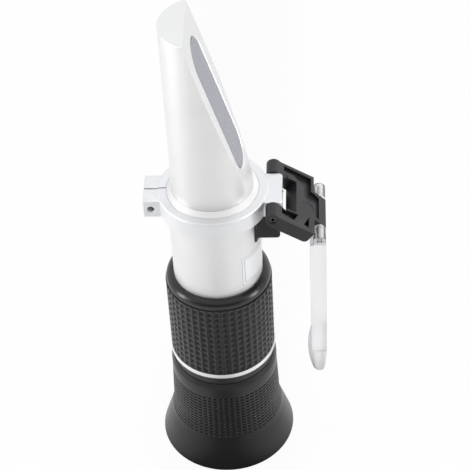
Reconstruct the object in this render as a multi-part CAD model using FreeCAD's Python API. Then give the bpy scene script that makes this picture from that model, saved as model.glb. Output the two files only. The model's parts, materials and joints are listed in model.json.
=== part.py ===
import FreeCAD, Part
import math
import os

from FreeCAD import Matrix, Placement, Rotation, Vector

# Handheld refractometer, standing on the rim of its rubber eyecup.
# The origin is the centre of the rim, +Z runs up the optical axis to the prism end,
# +X points to the sloping prism face and the cover's hinge. Sizes are in millimetres.

# Gaps between pieces
slide_gap = 0.06          # radial, round a piece that slides or turns
seat_gap = 0.02           # radial, round a piece that is pressed or glued in
face_gap = 0.05           # between flat faces that stop on each other
swing_gap = 0.1           # each side of a hinged piece
closed_gap = 0.15         # between the prism face and the closed daylight plate

# Rubber eyecup
rim_radius = 20.0
rim_lip = 0.9
skirt_height = 8.0
waist_radius = 16.0
waist_height = 17.8
band_radius = 15.6
band_bottom = 28.0
band_top = 31.9
eyecup_height = 33.4
eyecup_top_radius = 14.95
bowl_depth = 12.0
bowl_wall = 1.5
bowl_lip_thickness = 1.5
bowl_lip_radius = 10.8

# Focus sleeve, which screws on the nose of the eyepiece socket
sleeve_radius = 14.2
collar_radius = 14.8
collar_height = 2.6
sleeve_shoulder = 1.95

# Eyepiece barrel and its lenses
barrel_radius = 10.24
barrel_length = 30.0
barrel_end_recess = 0.5
barrel_wall = 1.34
barrel_stop_radius = 7.6
flange_radius = 12.0
flange_thickness = 2.0
flange_above_sleeve_end = 7.6
snap_ring_thickness = 0.8
lens_ring_thickness = 1.2
lens_ring_aperture = 7.4
eye_lens_thickness = 3.2
field_lens_thickness = 3.0
lens_edge_thickness = 1.4
lens_spacer_length = 9.4
lens_spacer_wall = 0.9
guide_pin_radius = 0.75
guide_pin_above_nose_end = 8.2
focus_travel = 4.0

# Eyepiece socket, fixed in the lower end of the body tube
nose_radius = 12.2
socket_spigot_length = 11.6
seal_section = 0.5
seal_chamfer = 0.25
seal_below_trim = 1.6

# Trim ring, grip and body tube
trim_radius = 15.42
trim_top_radius = 15.2
trim_thickness = 1.4
collar_to_trim = 0.4
grip_radius = 15.2
grip_bead_radius = 15.0
grip_length = 29.3
grip_bead_length = 2.9
grip_groove = 0.35
tube_wall = 1.5
tube_exposed_length = 24.8
tube_bevel_height = 1.2

# Prism housing
housing_radius = 11.13
housing_length = 53.9
housing_insert = 20.0
housing_bore_radius = 9.6
housing_bore_spare = 1.85  # above the ring that covers the lens stage
slope_angle = 16.05
window_start = 8.3
window_length = 41.8
window_width = 12.0
window_bevel = 0.6
glass_recess = 0.15
cement_thickness = 0.12
pocket_depth = 5.2
prism_thick_end = 4.8
prism_thin_end = 2.6
light_path_radius = 5.5
light_path_offset = -1.0
light_path_rise = 23.0

# Clamp ring with its split lug and hinge block
clamp_height = 5.7
clamp_radius = 15.15
clamp_edge = 0.3
lug_reach = 18.9
lug_half_width = 5.45
lug_drop = 0.3
split_width = 0.35
clamp_screw_from_axis = 16.75
clamp_screw_head_radius = 0.95
clamp_screw_head_length = 1.6
clamp_screw_head_recess = 1.9
clamp_screw_shank_radius = 0.6
clamp_screw_tip_cover = 0.9
block_reach = 19.0
block_half_width = 6.05
block_drop = 0.6
block_edge = 0.4
block_corner = 1.1
detent_radius = 0.55
detent_proud = 0.45
detent_above_block_foot = 4.3

# Cover bracket, measured from its hinge pin: along the arm, across it, and up from its middle
hinge_x = 16.45
hinge_above_clamp_foot = 3.55
arm_droop = 32.84
knuckle_radius = 2.0
arm_top_height = 1.72
arm_foot_depth = 2.35
arm_length = 12.1
arm_half_width = 11.5
arm_corner = 1.3
web_start = 6.35
web_draft = 13.0
tongue_length = 16.7
tongue_half_width = 5.6
tongue_tip_drop = 1.0
corner_clearance = 0.3
hinge_pin_radius = 0.8
hinge_pin_bore = 0.5
hinge_pin_slit = 0.25
pin_end_recess = 0.3
pin_end_recess_radius = 1.2
pocket_depth_near = 1.5
channel_depth = 1.2
channel_start = 2.35
channel_outer_y = 10.4
channel_inner_y = 8.4
channel_step = 9.25
channel_step_end = 11.1
channel_bevel_along = 3.1
channel_bevel_across = 2.7
channel_cross_inner = 0.7
channel_cross_outer = 4.9
channel_cross_slope = 0.8
channel_round = 1.6
channel_last_start = 12.4
channel_last_end = 13.85
channel_end_y = -4.45
channel_brow = 0.7
ejector_radius = 2.0
ejector_depth = 0.12
gate_radius = 0.55
gate_height = 0.45
gate_y = -2.1

# Daylight plate, measured from its own pin
plate_pin_x = 28.9
plate_pin_below_hinge = 8.45
plate_pin_radius = 0.65
plate_thickness = 4.4
plate_contact_offset = 1.75
plate_half_width = 11.0
plate_body_length = 47.9
plate_top_drop = 1.5
plate_slot_depth = 3.9
plate_crease = 43.8
plate_tip_thickness = 1.8
plate_groove = 0.2
plate_pad_drop = 52.5
plate_pad_radius = 6.0
plate_pad_height = 1.15
tongue_swing_clearance = 0.2

# Calibration screw, its rubber cap and the lens stage that it pushes
calibration_drop = 4.0
calibration_screw_radius = 1.5
calibration_screw_length = 6.3
calibration_slot_width = 0.5
calibration_slot_depth = 0.8
cap_reach = 18.15
cap_half_width = 5.95
cap_height = 8.2
cap_corner = 1.0
cap_flange = 0.45
cap_flange_margin = 0.2
cap_flange_drop = 1.4
cap_wall = 1.2
cap_edge = 0.4
stage_radius = 8.9
stage_thickness = 5.0
stage_flat = 7.9
stage_rail_half = 4.3
stage_ring_thickness = 1.5
stage_ring_aperture = 7.3
stage_lens_radius = 6.6
stage_lens_thickness = 3.0
stage_lens_lip = 0.7
stage_lens_ring_thickness = 1.3
leaf_thickness = 0.18
leaf_height = 3.0
leaf_half_angle = 28.0
strip_thickness = 0.4
strip_width = 4.0
strip_foot = 1.7
strip_length = 10.4
strip_rivet_radius = 0.4
strip_rivet_head = 0.63
strip_rivet_head_height = 0.35

# Reticle and baffle
reticle_height = 60.0
reticle_thickness = 1.2
reticle_radius = 9.6
reticle_aperture = 8.6
reticle_seat = 3.0
reticle_ring_thickness = 1.4
baffle_below_strip = 0.65
baffle_thickness = 0.8
baffle_aperture = 6.5


def skirt_lean():
    """Lean of the skirt's straight foot, from which one arc turns upright at the waist."""
    flare = rim_radius - waist_radius
    half_tangent = 0.0
    for _ in range(20):
        foot_run = 2 * skirt_height / (1 - half_tangent ** 2)
        half_tangent = flare / (foot_run + waist_height - skirt_height)
    return 2 * math.atan(half_tangent)


def crown_height(radius, rise, at):
    """How far a lens's spherical crown stands above its own edge at a smaller radius."""
    sphere = (radius ** 2 + rise ** 2) / (2 * rise)
    return rise - sphere + math.sqrt(sphere ** 2 - at ** 2)


# Sizes that follow from the ones above
collar_top = eyecup_height + collar_height
trim_bottom = collar_top + collar_to_trim
trim_top = trim_bottom + trim_thickness
grip_top = trim_top + grip_length
clamp_foot = grip_top + tube_exposed_length
clamp_top = clamp_foot + clamp_height
tube_top = clamp_top + tube_bevel_height
housing_top = tube_top + housing_length
housing_foot = tube_top - housing_insert
tube_bore = housing_radius + seat_gap
tube_radius = tube_bore + tube_wall
sleeve_bore = nose_radius + slide_gap
nose_bore = barrel_radius + slide_gap
sleeve_end = bowl_depth + bowl_lip_thickness
flange_foot = sleeve_end + flange_above_sleeve_end
snap_ring_foot = flange_foot + flange_thickness + face_gap
snap_ring_top = snap_ring_foot + snap_ring_thickness
nose_end = snap_ring_top + face_gap
barrel_end = sleeve_end + barrel_end_recess
barrel_top = barrel_end + barrel_length
barrel_bore = barrel_radius - barrel_wall
lens_radius = barrel_bore - seat_gap
spacer_bore = lens_radius - lens_spacer_wall
eye_lens_foot = barrel_end + lens_ring_thickness + face_gap
eye_lens_rise = eye_lens_thickness - lens_edge_thickness
eye_lens_shoulder = crown_height(lens_radius, eye_lens_rise, spacer_bore)
spacer_foot = eye_lens_foot + lens_edge_thickness + eye_lens_shoulder + seat_gap
spacer_top = spacer_foot + lens_spacer_length
field_lens_rise = field_lens_thickness - lens_edge_thickness
field_lens_shoulder = crown_height(lens_radius, field_lens_rise, spacer_bore)
field_lens_foot = spacer_top + seat_gap + field_lens_shoulder - field_lens_rise
barrel_stop_foot = field_lens_foot + field_lens_thickness + face_gap
hinge_z = clamp_foot + hinge_above_clamp_foot
plate_pin_z = hinge_z - plate_pin_below_hinge
block_top = clamp_top - block_drop
lug_top = clamp_top - lug_drop
calibration_z = clamp_foot - calibration_drop
stage_foot = calibration_z - stage_thickness / 2
stage_top = stage_foot + stage_thickness
stage_ring_bore = stage_lens_radius - stage_lens_lip
stage_lens_rise = stage_lens_thickness - lens_edge_thickness
stage_lens_shoulder = crown_height(stage_lens_radius, stage_lens_rise, stage_ring_bore)
stage_ring_foot = stage_top - stage_lens_ring_thickness
stage_lens_foot = stage_ring_foot - seat_gap - stage_lens_shoulder - lens_edge_thickness
stage_guide_foot = stage_foot - face_gap - stage_ring_thickness
strip_end = stage_guide_foot - strip_length
baffle_height = strip_end - baffle_below_strip - baffle_thickness
strip_outer = 0.5 - housing_bore_radius
strip_rivet_x = strip_outer + strip_thickness + (strip_foot - strip_thickness) / 2
stage_cover_foot = stage_top + face_gap
bore_top = stage_cover_foot + stage_ring_thickness + housing_bore_spare
far = 60.0


def solid_of(shape):
    """The one solid of a shape, cleaned of seams that a cut or a join left."""
    clean = shape.removeSplitter()
    return clean.Solids[0] if len(clean.Solids) == 1 else clean


def rod(radius, bottom, top, x=0.0, y=0.0):
    return Part.makeCylinder(radius, top - bottom, Vector(x, y, bottom))


def ring(outer, inner, bottom, top):
    return rod(outer, bottom, top).cut(rod(inner, bottom - 1, top + 1))


def rod_y(radius, x, z, y_from, y_to):
    return Part.makeCylinder(radius, y_to - y_from, Vector(x, y_from, z), Vector(0, 1, 0))


def rod_x(radius, z, x_from, x_to):
    return Part.makeCylinder(radius, x_to - x_from, Vector(x_from, 0, z), Vector(1, 0, 0))


def block(x_from, x_to, y_from, y_to, z_from, z_to):
    size = (x_to - x_from, y_to - y_from, z_to - z_from)
    return Part.makeBox(*size, Vector(x_from, y_from, z_from))


def face_through(steps, place):
    """A flat face: each step is a corner, or the middle and the end of an arc."""
    edges = []
    here = steps[0]
    for step in steps[1:] + [steps[0]]:
        if isinstance(step[0], tuple):
            middle, end = step
            edges.append(Part.Arc(place(*here), place(*middle), place(*end)).toShape())
            here = end
        elif math.dist(here, step) > 1e-6:
            edges.append(Part.LineSegment(place(*here), place(*step)).toShape())
            here = step
    return Part.Face(Part.Wire(edges))


def turned(steps):
    """A solid of revolution about Z from steps of radius and height."""
    face = face_through(steps, lambda radius, z: Vector(radius, 0, z))
    return face.revolve(Vector(0, 0, 0), Vector(0, 0, 1), 360)


def side_slab(steps, y_from, y_to):
    """A slab across Y from an outline in the XZ plane."""
    face = face_through(steps, lambda x, z: Vector(x, y_from, z))
    return face.extrude(Vector(0, y_to - y_from, 0))


def plan_slab(steps, z_from, z_to):
    """A slab along Z from an outline in the XY plane."""
    face = face_through(steps, lambda x, y: Vector(x, y, z_from))
    return face.extrude(Vector(0, 0, z_to - z_from))


def rounded(shape, radius, chosen):
    """The shape with a fillet on each edge that the test chooses."""
    edges = [edge for edge in shape.Edges if chosen(edge)]
    return shape.makeFillet(radius, edges) if edges else shape


def beveled(shape, size, chosen):
    """The shape with a chamfer on each edge that the test chooses."""
    edges = [edge for edge in shape.Edges if chosen(edge)]
    return shape.makeChamfer(size, edges) if edges else shape


def lens(radius, foot, thickness, crown_up):
    """A lens with one flat side and one spherical crown above or below its cylindrical edge."""
    rise = thickness - lens_edge_thickness
    sphere = (radius ** 2 + rise ** 2) / (2 * rise)
    half = math.asin(radius / sphere) / 2
    across = sphere * math.sin(half)
    bow = sphere * (1 - math.cos(half))
    top = foot + thickness
    if crown_up:
        return turned([
            (0, foot), (radius, foot), (radius, top - rise), ((across, top - bow), (0, top)),
        ])
    return turned([
        (0, foot), ((across, foot + bow), (radius, foot + rise)), (radius, top), (0, top),
    ])


# Eyecup and focus sleeve


def rubber_eyecup():
    """Flared skirt, waist and smooth band outside, with a bowl for the eye and a bore on the sleeve."""
    lean = skirt_lean()
    arc_radius = (waist_height - skirt_height) / math.sin(lean)
    arc_middle = (
        waist_radius + arc_radius * (1 - math.cos(lean / 2)),
        waist_height - arc_radius * math.sin(lean / 2),
    )
    skirt_end = (rim_radius - skirt_height * math.tan(lean), skirt_height)
    rim_inner = rim_radius - rim_lip
    bowl_top_radius = waist_radius - bowl_wall
    bowl_middle = (
        (rim_inner + bowl_top_radius) / 2 - 0.35,
        bowl_depth * 0.5,
    )
    bore = sleeve_radius + seat_gap
    return turned([
        (rim_radius, 0), skirt_end, (arc_middle, (waist_radius, waist_height)),
        (band_radius, band_bottom), (band_radius, band_top), (eyecup_top_radius, eyecup_height),
        (bore, eyecup_height), (bore, sleeve_end), (bowl_lip_radius, sleeve_end),
        (bowl_lip_radius, bowl_depth), (bowl_top_radius, bowl_depth),
        (bowl_middle, (rim_inner, 0)),
    ])


def focus_sleeve():
    """Inner sleeve of the eyecup: its collar shows above the rubber, its shoulder carries the barrel."""
    shoulder_top = flange_foot - face_gap
    neck = barrel_radius + slide_gap * 3
    return turned([
        (neck, sleeve_end), (sleeve_radius, sleeve_end), (sleeve_radius, eyecup_height),
        (collar_radius, eyecup_height), (collar_radius, collar_top), (sleeve_bore, collar_top),
        (sleeve_bore, shoulder_top), (neck, shoulder_top),
    ])


def snap_ring():
    """Ring that traps the barrel's flange in the sleeve and stops on the end of the nose."""
    outer = sleeve_bore - seat_gap
    inner = barrel_radius + slide_gap * 3
    return ring(outer, inner, snap_ring_foot, snap_ring_top)


# Eyepiece barrel


def eyepiece_barrel():
    """Tube that carries both lenses, with a flange held by the sleeve and a hole for the guide pin."""
    outline = turned([
        (barrel_bore, barrel_end), (barrel_radius, barrel_end), (barrel_radius, flange_foot),
        (flange_radius, flange_foot), (flange_radius, flange_foot + flange_thickness),
        (barrel_radius, flange_foot + flange_thickness), (barrel_radius, barrel_top),
        (barrel_stop_radius, barrel_top), (barrel_stop_radius, barrel_stop_foot),
        (barrel_bore, barrel_stop_foot),
    ])
    return outline.cut(guide_pin_shape(seat_gap))


def guide_pin_shape(gap):
    pin_z = nose_end + guide_pin_above_nose_end
    inner = barrel_stop_radius + barrel_wall
    return rod_x(guide_pin_radius + gap, pin_z, inner, nose_radius - slide_gap)


def guide_pin():
    return guide_pin_shape(0)


def eye_lens():
    return lens(lens_radius, eye_lens_foot, eye_lens_thickness, True)


def field_lens():
    return lens(lens_radius, field_lens_foot, field_lens_thickness, False)


def lens_spacer():
    return ring(lens_radius, spacer_bore, spacer_foot, spacer_top)


def eye_lens_ring():
    """Threaded ring with two spanner notches that holds the lenses in the barrel."""
    body = ring(lens_radius, lens_ring_aperture, barrel_end, barrel_end + lens_ring_thickness)
    notch = block(-far, far, -0.5, 0.5, barrel_end - 1, barrel_end + lens_ring_thickness / 2)
    return body.cut(notch)


# Eyepiece socket and trim


def eyepiece_socket():
    """Nose with the focus thread below a shoulder, and a spigot glued in the body tube."""
    spigot = tube_bore - seat_gap
    spigot_top = trim_bottom + socket_spigot_length
    body = turned([
        (nose_bore, nose_end), (nose_radius, nose_end), (nose_radius, trim_bottom),
        (spigot, trim_bottom), (spigot, spigot_top), (nose_bore, spigot_top),
    ])
    seal_z = trim_bottom - seal_below_trim
    groove_foot = nose_radius - 2 * seal_section
    groove = ring(nose_radius + 1, groove_foot, seal_z - seal_section, seal_z + seal_section)
    return body.cut(groove).cut(guide_slot())


def guide_slot():
    """Slot through the nose in which the guide pin runs from its rest to the end of the focus travel."""
    half = guide_pin_radius + slide_gap
    top = nose_end + guide_pin_above_nose_end
    foot = top - focus_travel
    straight = block(nose_bore - 1, nose_radius + 1, -half, half, foot, top)
    ends = [rod_x(half, z, nose_bore - 1, nose_radius + 1) for z in (foot, top)]
    return straight.fuse(ends[0]).fuse(ends[1])


def focus_seal():
    """Seal of an eight-sided section, which fills its groove and stands flush with the nose."""
    seal_z = trim_bottom - seal_below_trim
    half = seal_section - seat_gap
    flat = half - seal_chamfer
    middle = nose_radius - seal_section
    return turned([
        (middle - half, seal_z - flat), (middle - flat, seal_z - half), (middle + flat, seal_z - half),
        (middle + half, seal_z - flat), (middle + half, seal_z + flat), (middle + flat, seal_z + half),
        (middle - flat, seal_z + half), (middle - half, seal_z + flat),
    ])


def trim_ring():
    """Silver ring between the grip and the eyepiece, slightly conical outside."""
    bore = tube_bore
    return turned([
        (bore, trim_bottom), (trim_radius - 0.15, trim_bottom), (trim_radius, trim_bottom + 0.15),
        (trim_top_radius, trim_top), (bore, trim_top),
    ])


def rubber_grip():
    """Sleeve with a rounded bead at its top and a fine groove below the bead."""
    bore = tube_radius + seat_gap
    bead_foot = grip_top - grip_bead_length
    shoulder = tube_radius + 0.3
    bead_side = bead_foot + 0.55
    middle = (
        shoulder + (grip_bead_radius - shoulder) * 0.76,
        bead_side + (grip_top - bead_side) * 0.68,
    )
    return turned([
        (bore, trim_top), (grip_radius, trim_top), (grip_radius, bead_foot - grip_groove),
        (grip_radius - grip_groove * 1.5, bead_foot), (grip_bead_radius, bead_foot + grip_groove),
        (grip_bead_radius, bead_side), (middle, (shoulder, grip_top)), (bore, grip_top),
    ])


def body_tube():
    """Main tube, beveled at its top down to the prism housing, with a hole for the calibration screw."""
    body = turned([
        (tube_bore, trim_top), (tube_radius, trim_top), (tube_radius, clamp_top),
        (tube_bore, tube_top),
    ])
    hole = rod_x(calibration_screw_radius + slide_gap, calibration_z, 0, tube_radius + 1)
    return body.cut(hole)


# Prism housing, built in the slope's own frame where it follows the slope


def on_slope(shape):
    """Place a shape built with X out of the sloping face, Y across it and Z up it."""
    tip = Vector(housing_radius, 0, tube_top)
    moved = shape.copy()
    moved.Placement = Placement(tip, Rotation(Vector(0, 1, 0), -slope_angle))
    return moved


def stadium_wire(grow, depth):
    """Outline of the window, grown by a margin, at a depth below the sloping face."""
    half = window_width / 2 + grow
    low = window_start + window_width / 2
    high = window_start + window_length - window_width / 2
    steps = [
        (-half, low), (-half, high), ((0, high + half), (half, high)),
        (half, low), ((0, low - half), (-half, low)),
    ]
    return face_through(steps, lambda y, z: Vector(-depth, y, z))


def stadium(grow, depth_from, depth_to):
    return stadium_wire(grow, depth_from).extrude(Vector(depth_from - depth_to, 0, 0))


def window_mouth():
    """The bevel round the window, twice as deep as it shows so that it cuts clean through the face."""
    wires = [
        stadium_wire(cement_thickness + window_bevel * 2, -window_bevel).OuterWire,
        stadium_wire(cement_thickness, window_bevel).OuterWire,
    ]
    return Part.makeLoft(wires, True)


def prism_housing():
    """Round bar cut at a slope, with the prism's pocket, the light path and a bore for the lens stage."""
    body = rod(housing_radius, housing_foot, housing_top)
    body = body.cut(on_slope(block(0, far, -far, far, -far, 2 * far)))
    body = body.cut(on_slope(stadium(cement_thickness, -1, pocket_depth)))
    body = body.cut(on_slope(window_mouth()))
    body = body.cut(rod(housing_bore_radius, housing_foot - 1, bore_top))
    light_path = rod(light_path_radius, bore_top - 1, bore_top + light_path_rise, light_path_offset)
    body = body.cut(light_path)
    hole = rod_x(calibration_screw_radius + slide_gap, calibration_z, 0, housing_radius + 1)
    return body.cut(hole)


def prism_underside(grow):
    """Wedge under the prism, from its lower side down to well below the pocket."""
    low = window_start - 1
    high = window_start + window_length + 1
    slab = side_slab(
        [(-prism_thick_end - grow, low), (-prism_thin_end - grow, high), (-far, high), (-far, low)],
        -far, far,
    )
    return slab


def measuring_prism():
    """Glass wedge with a flat measuring face and round ends, thicker towards the eyepiece."""
    return on_slope(stadium(0, glass_recess, pocket_depth).cut(prism_underside(0)))


def prism_cement():
    """Thin bead of cement between the prism and the wall of its pocket."""
    outer = stadium(cement_thickness - seat_gap, window_bevel, prism_thin_end)
    return on_slope(outer.cut(stadium(seat_gap, 0, pocket_depth)))


def prism_backing():
    """Black wedge behind the upper part of the prism, which leaves the light path open."""
    wedge = stadium(0, 0, pocket_depth - seat_gap).common(prism_underside(seat_gap))
    lower_edge = window_start + window_length * 0.4
    return on_slope(wedge.cut(block(-far, far, -far, far, -far, lower_edge)))


# Clamp ring


def clamp_ring():
    """Split ring on the tube with a screw lug on one side and the hinge block on the other."""
    ring_body = rod(clamp_radius, clamp_foot, clamp_top)
    ring_body = beveled(ring_body, clamp_edge, lambda edge: edge.BoundBox.ZLength < 1e-6)
    lug = block(-lug_reach, -clamp_radius + 2, -lug_half_width, lug_half_width, clamp_foot, lug_top)
    lug = rounded(lug, block_edge, lambda edge: edge.BoundBox.XMax < 1e-6 - lug_reach)
    hinge = block(
        clamp_radius - 2, block_reach, -block_half_width, block_half_width, clamp_foot, block_top,
    )
    hinge = rounded(
        hinge, block_corner,
        lambda edge: edge.BoundBox.XMin > block_reach - 1e-6 and edge.BoundBox.ZLength > 1,
    )
    hinge = rounded(hinge, block_edge, lambda edge: edge.BoundBox.ZMin > block_top - 1e-6)
    body = ring_body.fuse(lug).fuse(hinge)
    body = body.cut(rod(tube_radius + seat_gap, clamp_foot - 1, clamp_top + 1))
    half = split_width / 2
    body = body.cut(block(-far, -tube_radius + 1, -half, half, clamp_foot - 1, clamp_top + 1))
    body = body.cut(clamp_screw_space())
    body = body.cut(rod_y(hinge_pin_radius + face_gap, hinge_x, hinge_z, -far, far))
    return solid_of(body.cut(detent_ball_shape(seat_gap)))


def clamp_screw_rods(gap, head_from, head_to, shank_to):
    z = (clamp_foot + lug_top) / 2
    head = rod_y(clamp_screw_head_radius + gap, -clamp_screw_from_axis, z, head_from, head_to)
    shank = rod_y(clamp_screw_shank_radius + gap, -clamp_screw_from_axis, z, head_from, shank_to)
    return head.fuse(shank)


def clamp_screw_space():
    seat = clamp_screw_head_recess + clamp_screw_head_length - lug_half_width
    tip = lug_half_width - clamp_screw_tip_cover
    return clamp_screw_rods(seat_gap, -lug_half_width - 1, seat, tip)


def clamp_screw():
    """Socket-head screw across the lug, its head sunk below the face of the lug."""
    head_from = clamp_screw_head_recess - lug_half_width
    head_to = head_from + clamp_screw_head_length
    tip = lug_half_width - clamp_screw_tip_cover - 0.2
    screw = clamp_screw_rods(0, head_from, head_to, tip)
    z = (clamp_foot + lug_top) / 2
    key = Part.makePolygon([
        Vector(
            -clamp_screw_from_axis + 0.55 * math.cos(math.radians(60 * corner)),
            head_from - 0.1,
            z + 0.55 * math.sin(math.radians(60 * corner)),
        )
        for corner in range(7)
    ])
    socket = Part.Face(key).extrude(Vector(0, clamp_screw_head_length * 0.6, 0))
    return screw.cut(socket)


def detent_ball_shape(gap):
    centre = Vector(block_reach + detent_proud - detent_radius, 0, clamp_foot + detent_above_block_foot)
    return Part.makeSphere(detent_radius + gap, centre)


def detent_ball():
    """Small steel ball pressed in the end of the hinge block."""
    return detent_ball_shape(0)


# Cover bracket, built along +X from its pin and then laid at its droop


def on_arm(shape):
    moved = shape.copy()
    moved.Placement = Placement(
        Vector(hinge_x, 0, hinge_z), Rotation(Vector(0, 1, 0), arm_droop),
    )
    return moved


def arm_point(along, up):
    """Where a point of the arm lies, in X and Z, with the bracket at rest."""
    droop = math.radians(arm_droop)
    x = hinge_x + along * math.cos(droop) + up * math.sin(droop)
    z = hinge_z - along * math.sin(droop) + up * math.cos(droop)
    return x, z


def arm_blank():
    """Both ears, the arms and the web between them as one slab, with proud knuckles round the pin."""
    top = arm_top_height
    end = arm_length
    foot = -arm_foot_depth
    steps = [
        (0, top), (end, top), (end - 0.2, foot + arm_corner),
        ((end - 0.2 - arm_corner * 0.3, foot + arm_corner * 0.3), (end - 0.2 - arm_corner, foot)),
        (0, foot),
    ]
    slab = side_slab(steps, -arm_half_width, arm_half_width)
    knuckle = rod_y(knuckle_radius, 0, 0, -arm_half_width, arm_half_width)
    return slab.fuse(knuckle)


def tongue():
    """Middle strip that reaches out between the ears of the daylight plate."""
    top = arm_top_height
    foot = -arm_foot_depth
    tip_top = top - tongue_tip_drop
    steps = [
        (arm_length - 3, top), (arm_length, top), (tongue_length - 0.3, tip_top + 0.06),
        (tongue_length, tip_top - 0.3), (tongue_length - 0.6, foot + 1.2),
        (tongue_length - 1.8, foot), (arm_length - 3, foot),
    ]
    return side_slab(steps, -tongue_half_width, tongue_half_width)


def hinge_block_space():
    """Room between the ears for the hinge block, at rest and through the whole swing."""
    half = block_half_width + swing_gap
    corner = math.dist((hinge_x, hinge_z), (block_reach, block_top))
    sweep = rod_y(corner + corner_clearance, hinge_x, hinge_z, -half, half)
    reach = block_reach + face_gap
    return sweep.fuse(block(hinge_x - far, reach, -half, half, hinge_z - far, hinge_z + far))


def web_opening():
    """Opening between the ears, closed by the drafted end of the web."""
    half = block_half_width + swing_gap
    lean = math.tan(math.radians(web_draft))
    steps = [
        (-far, far), (web_start + (far - arm_top_height) * lean, far),
        (web_start - (far + arm_top_height) * lean, -far), (-far, -far),
    ]
    return side_slab(steps, -half, half)


def channel_inner_steps():
    """The channel's edge on the side of the web, from the tongue back to the hinge."""
    cut = channel_round * (1 - math.sqrt(0.5))
    return [
        (channel_last_start, channel_end_y), (channel_last_start, channel_cross_inner),
        (channel_step + channel_round, channel_cross_inner),
        ((channel_step + cut, channel_cross_inner + cut),
         (channel_step, channel_cross_inner + channel_round)),
        (channel_step, channel_inner_y - channel_bevel_across),
        (channel_step - channel_bevel_along, channel_inner_y), (channel_start, channel_inner_y),
    ]


def channel():
    """Groove that follows the far side, steps in and runs on across the tongue."""
    outer_steps = [
        (channel_start, channel_outer_y), (channel_step_end, channel_outer_y - 0.2),
        (channel_step_end, channel_cross_outer),
        (channel_last_end, channel_cross_outer - channel_cross_slope), (channel_last_end, channel_end_y),
    ]
    floor = arm_top_height - channel_depth
    return plan_slab(channel_inner_steps() + outer_steps, floor, arm_top_height + 1)


def with_channel(body):
    """The slab with its channel cut and the web's edge along it rounded over."""
    body = body.cut(channel())
    corners = [step[1] if isinstance(step[0], tuple) else step for step in channel_inner_steps()]

    def on_brow(edge):
        places = [vertex.Point for vertex in edge.Vertexes]
        return all(
            abs(place.z - arm_top_height) < 1e-6
            and any(math.dist((place.x, place.y), corner) < 1e-6 for corner in corners[1:])
            for place in places
        ) and edge.BoundBox.XMin > web_start - 1

    return rounded(body, channel_brow, on_brow)


def small_pockets():
    """Two shallow hollows on the near side: a slanting slot and a triangle."""
    floor = arm_top_height - pocket_depth_near
    top = arm_top_height + 1
    slot = plan_slab([(1.8, -7.05), (6.9, -6.75), (5.65, -9.5), (1.85, -8.95)], floor, top)
    triangle = plan_slab([(10.45, -5.8), (8.8, -9.5), (10.25, -9.95)], floor, top)
    return slot.fuse(triangle)


def ejector_mark():
    """Round mark that an ejector left on the web."""
    foot = arm_top_height - ejector_depth
    return rod(ejector_radius, foot, arm_top_height + 1, 9.95, -2.2)


def ring_space():
    """Where the clamp ring lies beside the bracket once the cover is closed, with room round it."""
    closed, _ = closing_turns()
    space = rod(clamp_radius + corner_clearance, clamp_foot, clamp_top + corner_clearance)
    space.rotate(Vector(hinge_x, 0, hinge_z), Vector(0, -1, 0), -closed)
    return space


def gate_mark():
    """Stub on the end of the tongue where the moulding's sprue was cut off."""
    height = -arm_foot_depth * 0.3
    start = Vector(tongue_length - 1.1, gate_y, height)
    return Part.makeCylinder(gate_radius, gate_height + 1, start, Vector(1, 0, 0))


def cover_bracket():
    """Moulded arm that carries the daylight plate and swings on the hinge block."""
    body = solid_of(arm_blank().fuse(tongue()))
    body = with_channel(body)
    for hollow in (web_opening(), small_pockets(), ejector_mark()):
        body = body.cut(hollow)
    body = on_arm(body.fuse(gate_mark()))
    body = body.cut(hinge_block_space()).cut(ring_space())
    body = body.cut(rod_y(hinge_pin_radius + seat_gap, hinge_x, hinge_z, -far, far))
    pin_end = arm_half_width - pin_end_recess
    for y_from, y_to in ((-arm_half_width, -pin_end), (pin_end, arm_half_width)):
        body = body.cut(rod_y(pin_end_recess_radius, hinge_x, hinge_z, y_from, y_to))
    body = body.cut(rod_y(plate_pin_radius + seat_gap, plate_pin_x, plate_pin_z, -far, far))
    return solid_of(body)


def hinge_pin():
    """Spring pin rolled from strip, so it is hollow and has a slit along it."""
    reach = arm_half_width - pin_end_recess - 0.1
    tube = rod_y(hinge_pin_radius, hinge_x, hinge_z, -reach, reach)
    tube = tube.cut(rod_y(hinge_pin_bore, hinge_x, hinge_z, -reach - 1, reach + 1))
    half = hinge_pin_slit / 2
    return tube.cut(block(hinge_x - half, hinge_x + half, -far, far, hinge_z - far, hinge_z))


def plate_pin():
    reach = plate_half_width - 0.6
    return rod_y(plate_pin_radius, plate_pin_x, plate_pin_z, -reach, reach)


# Daylight plate, built hanging from its pin


def plate_ears():
    """A knuckle on each side of the tongue, run down into the body of the plate."""
    inner = tongue_half_width + swing_gap * 3
    ears = []
    for side in (-1, 1):
        y_from = min(side * inner, side * plate_half_width)
        y_to = max(side * inner, side * plate_half_width)
        knuckle = rod_y(plate_contact_offset, 0, 0, y_from, y_to)
        neck = block(-plate_contact_offset, plate_contact_offset, y_from, y_to, -plate_top_drop - 1, 0)
        ears.append(knuckle.fuse(neck))
    return ears[0].fuse(ears[1])


def plate_outline(back):
    """Long plate with straight sides and a round end, from its outer face to the measuring side."""
    half = plate_half_width
    steps = [
        (-half, -plate_top_drop), (half, -plate_top_drop), (half, -plate_body_length),
        ((0, -plate_body_length - half), (-half, -plate_body_length)),
    ]
    face = face_through(steps, lambda y, z: Vector(back, y, z))
    return face.extrude(Vector(plate_contact_offset - back, 0, 0))


def tip_cuts():
    """Wedges that thin the round end of the plate from both faces."""
    end = -plate_body_length - plate_half_width - 1
    cut_depth = (plate_thickness - plate_tip_thickness) / 2
    front = plate_contact_offset
    back = plate_contact_offset - plate_thickness
    wedges = []
    for face, way in ((front, 1), (back, -1)):
        steps = [
            (face, -plate_crease), (face + way, -plate_crease), (face + way, end),
            (face - way * cut_depth, end),
        ]
        wedges.append(side_slab(steps, -far, far))
    return wedges[0].fuse(wedges[1])


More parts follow.
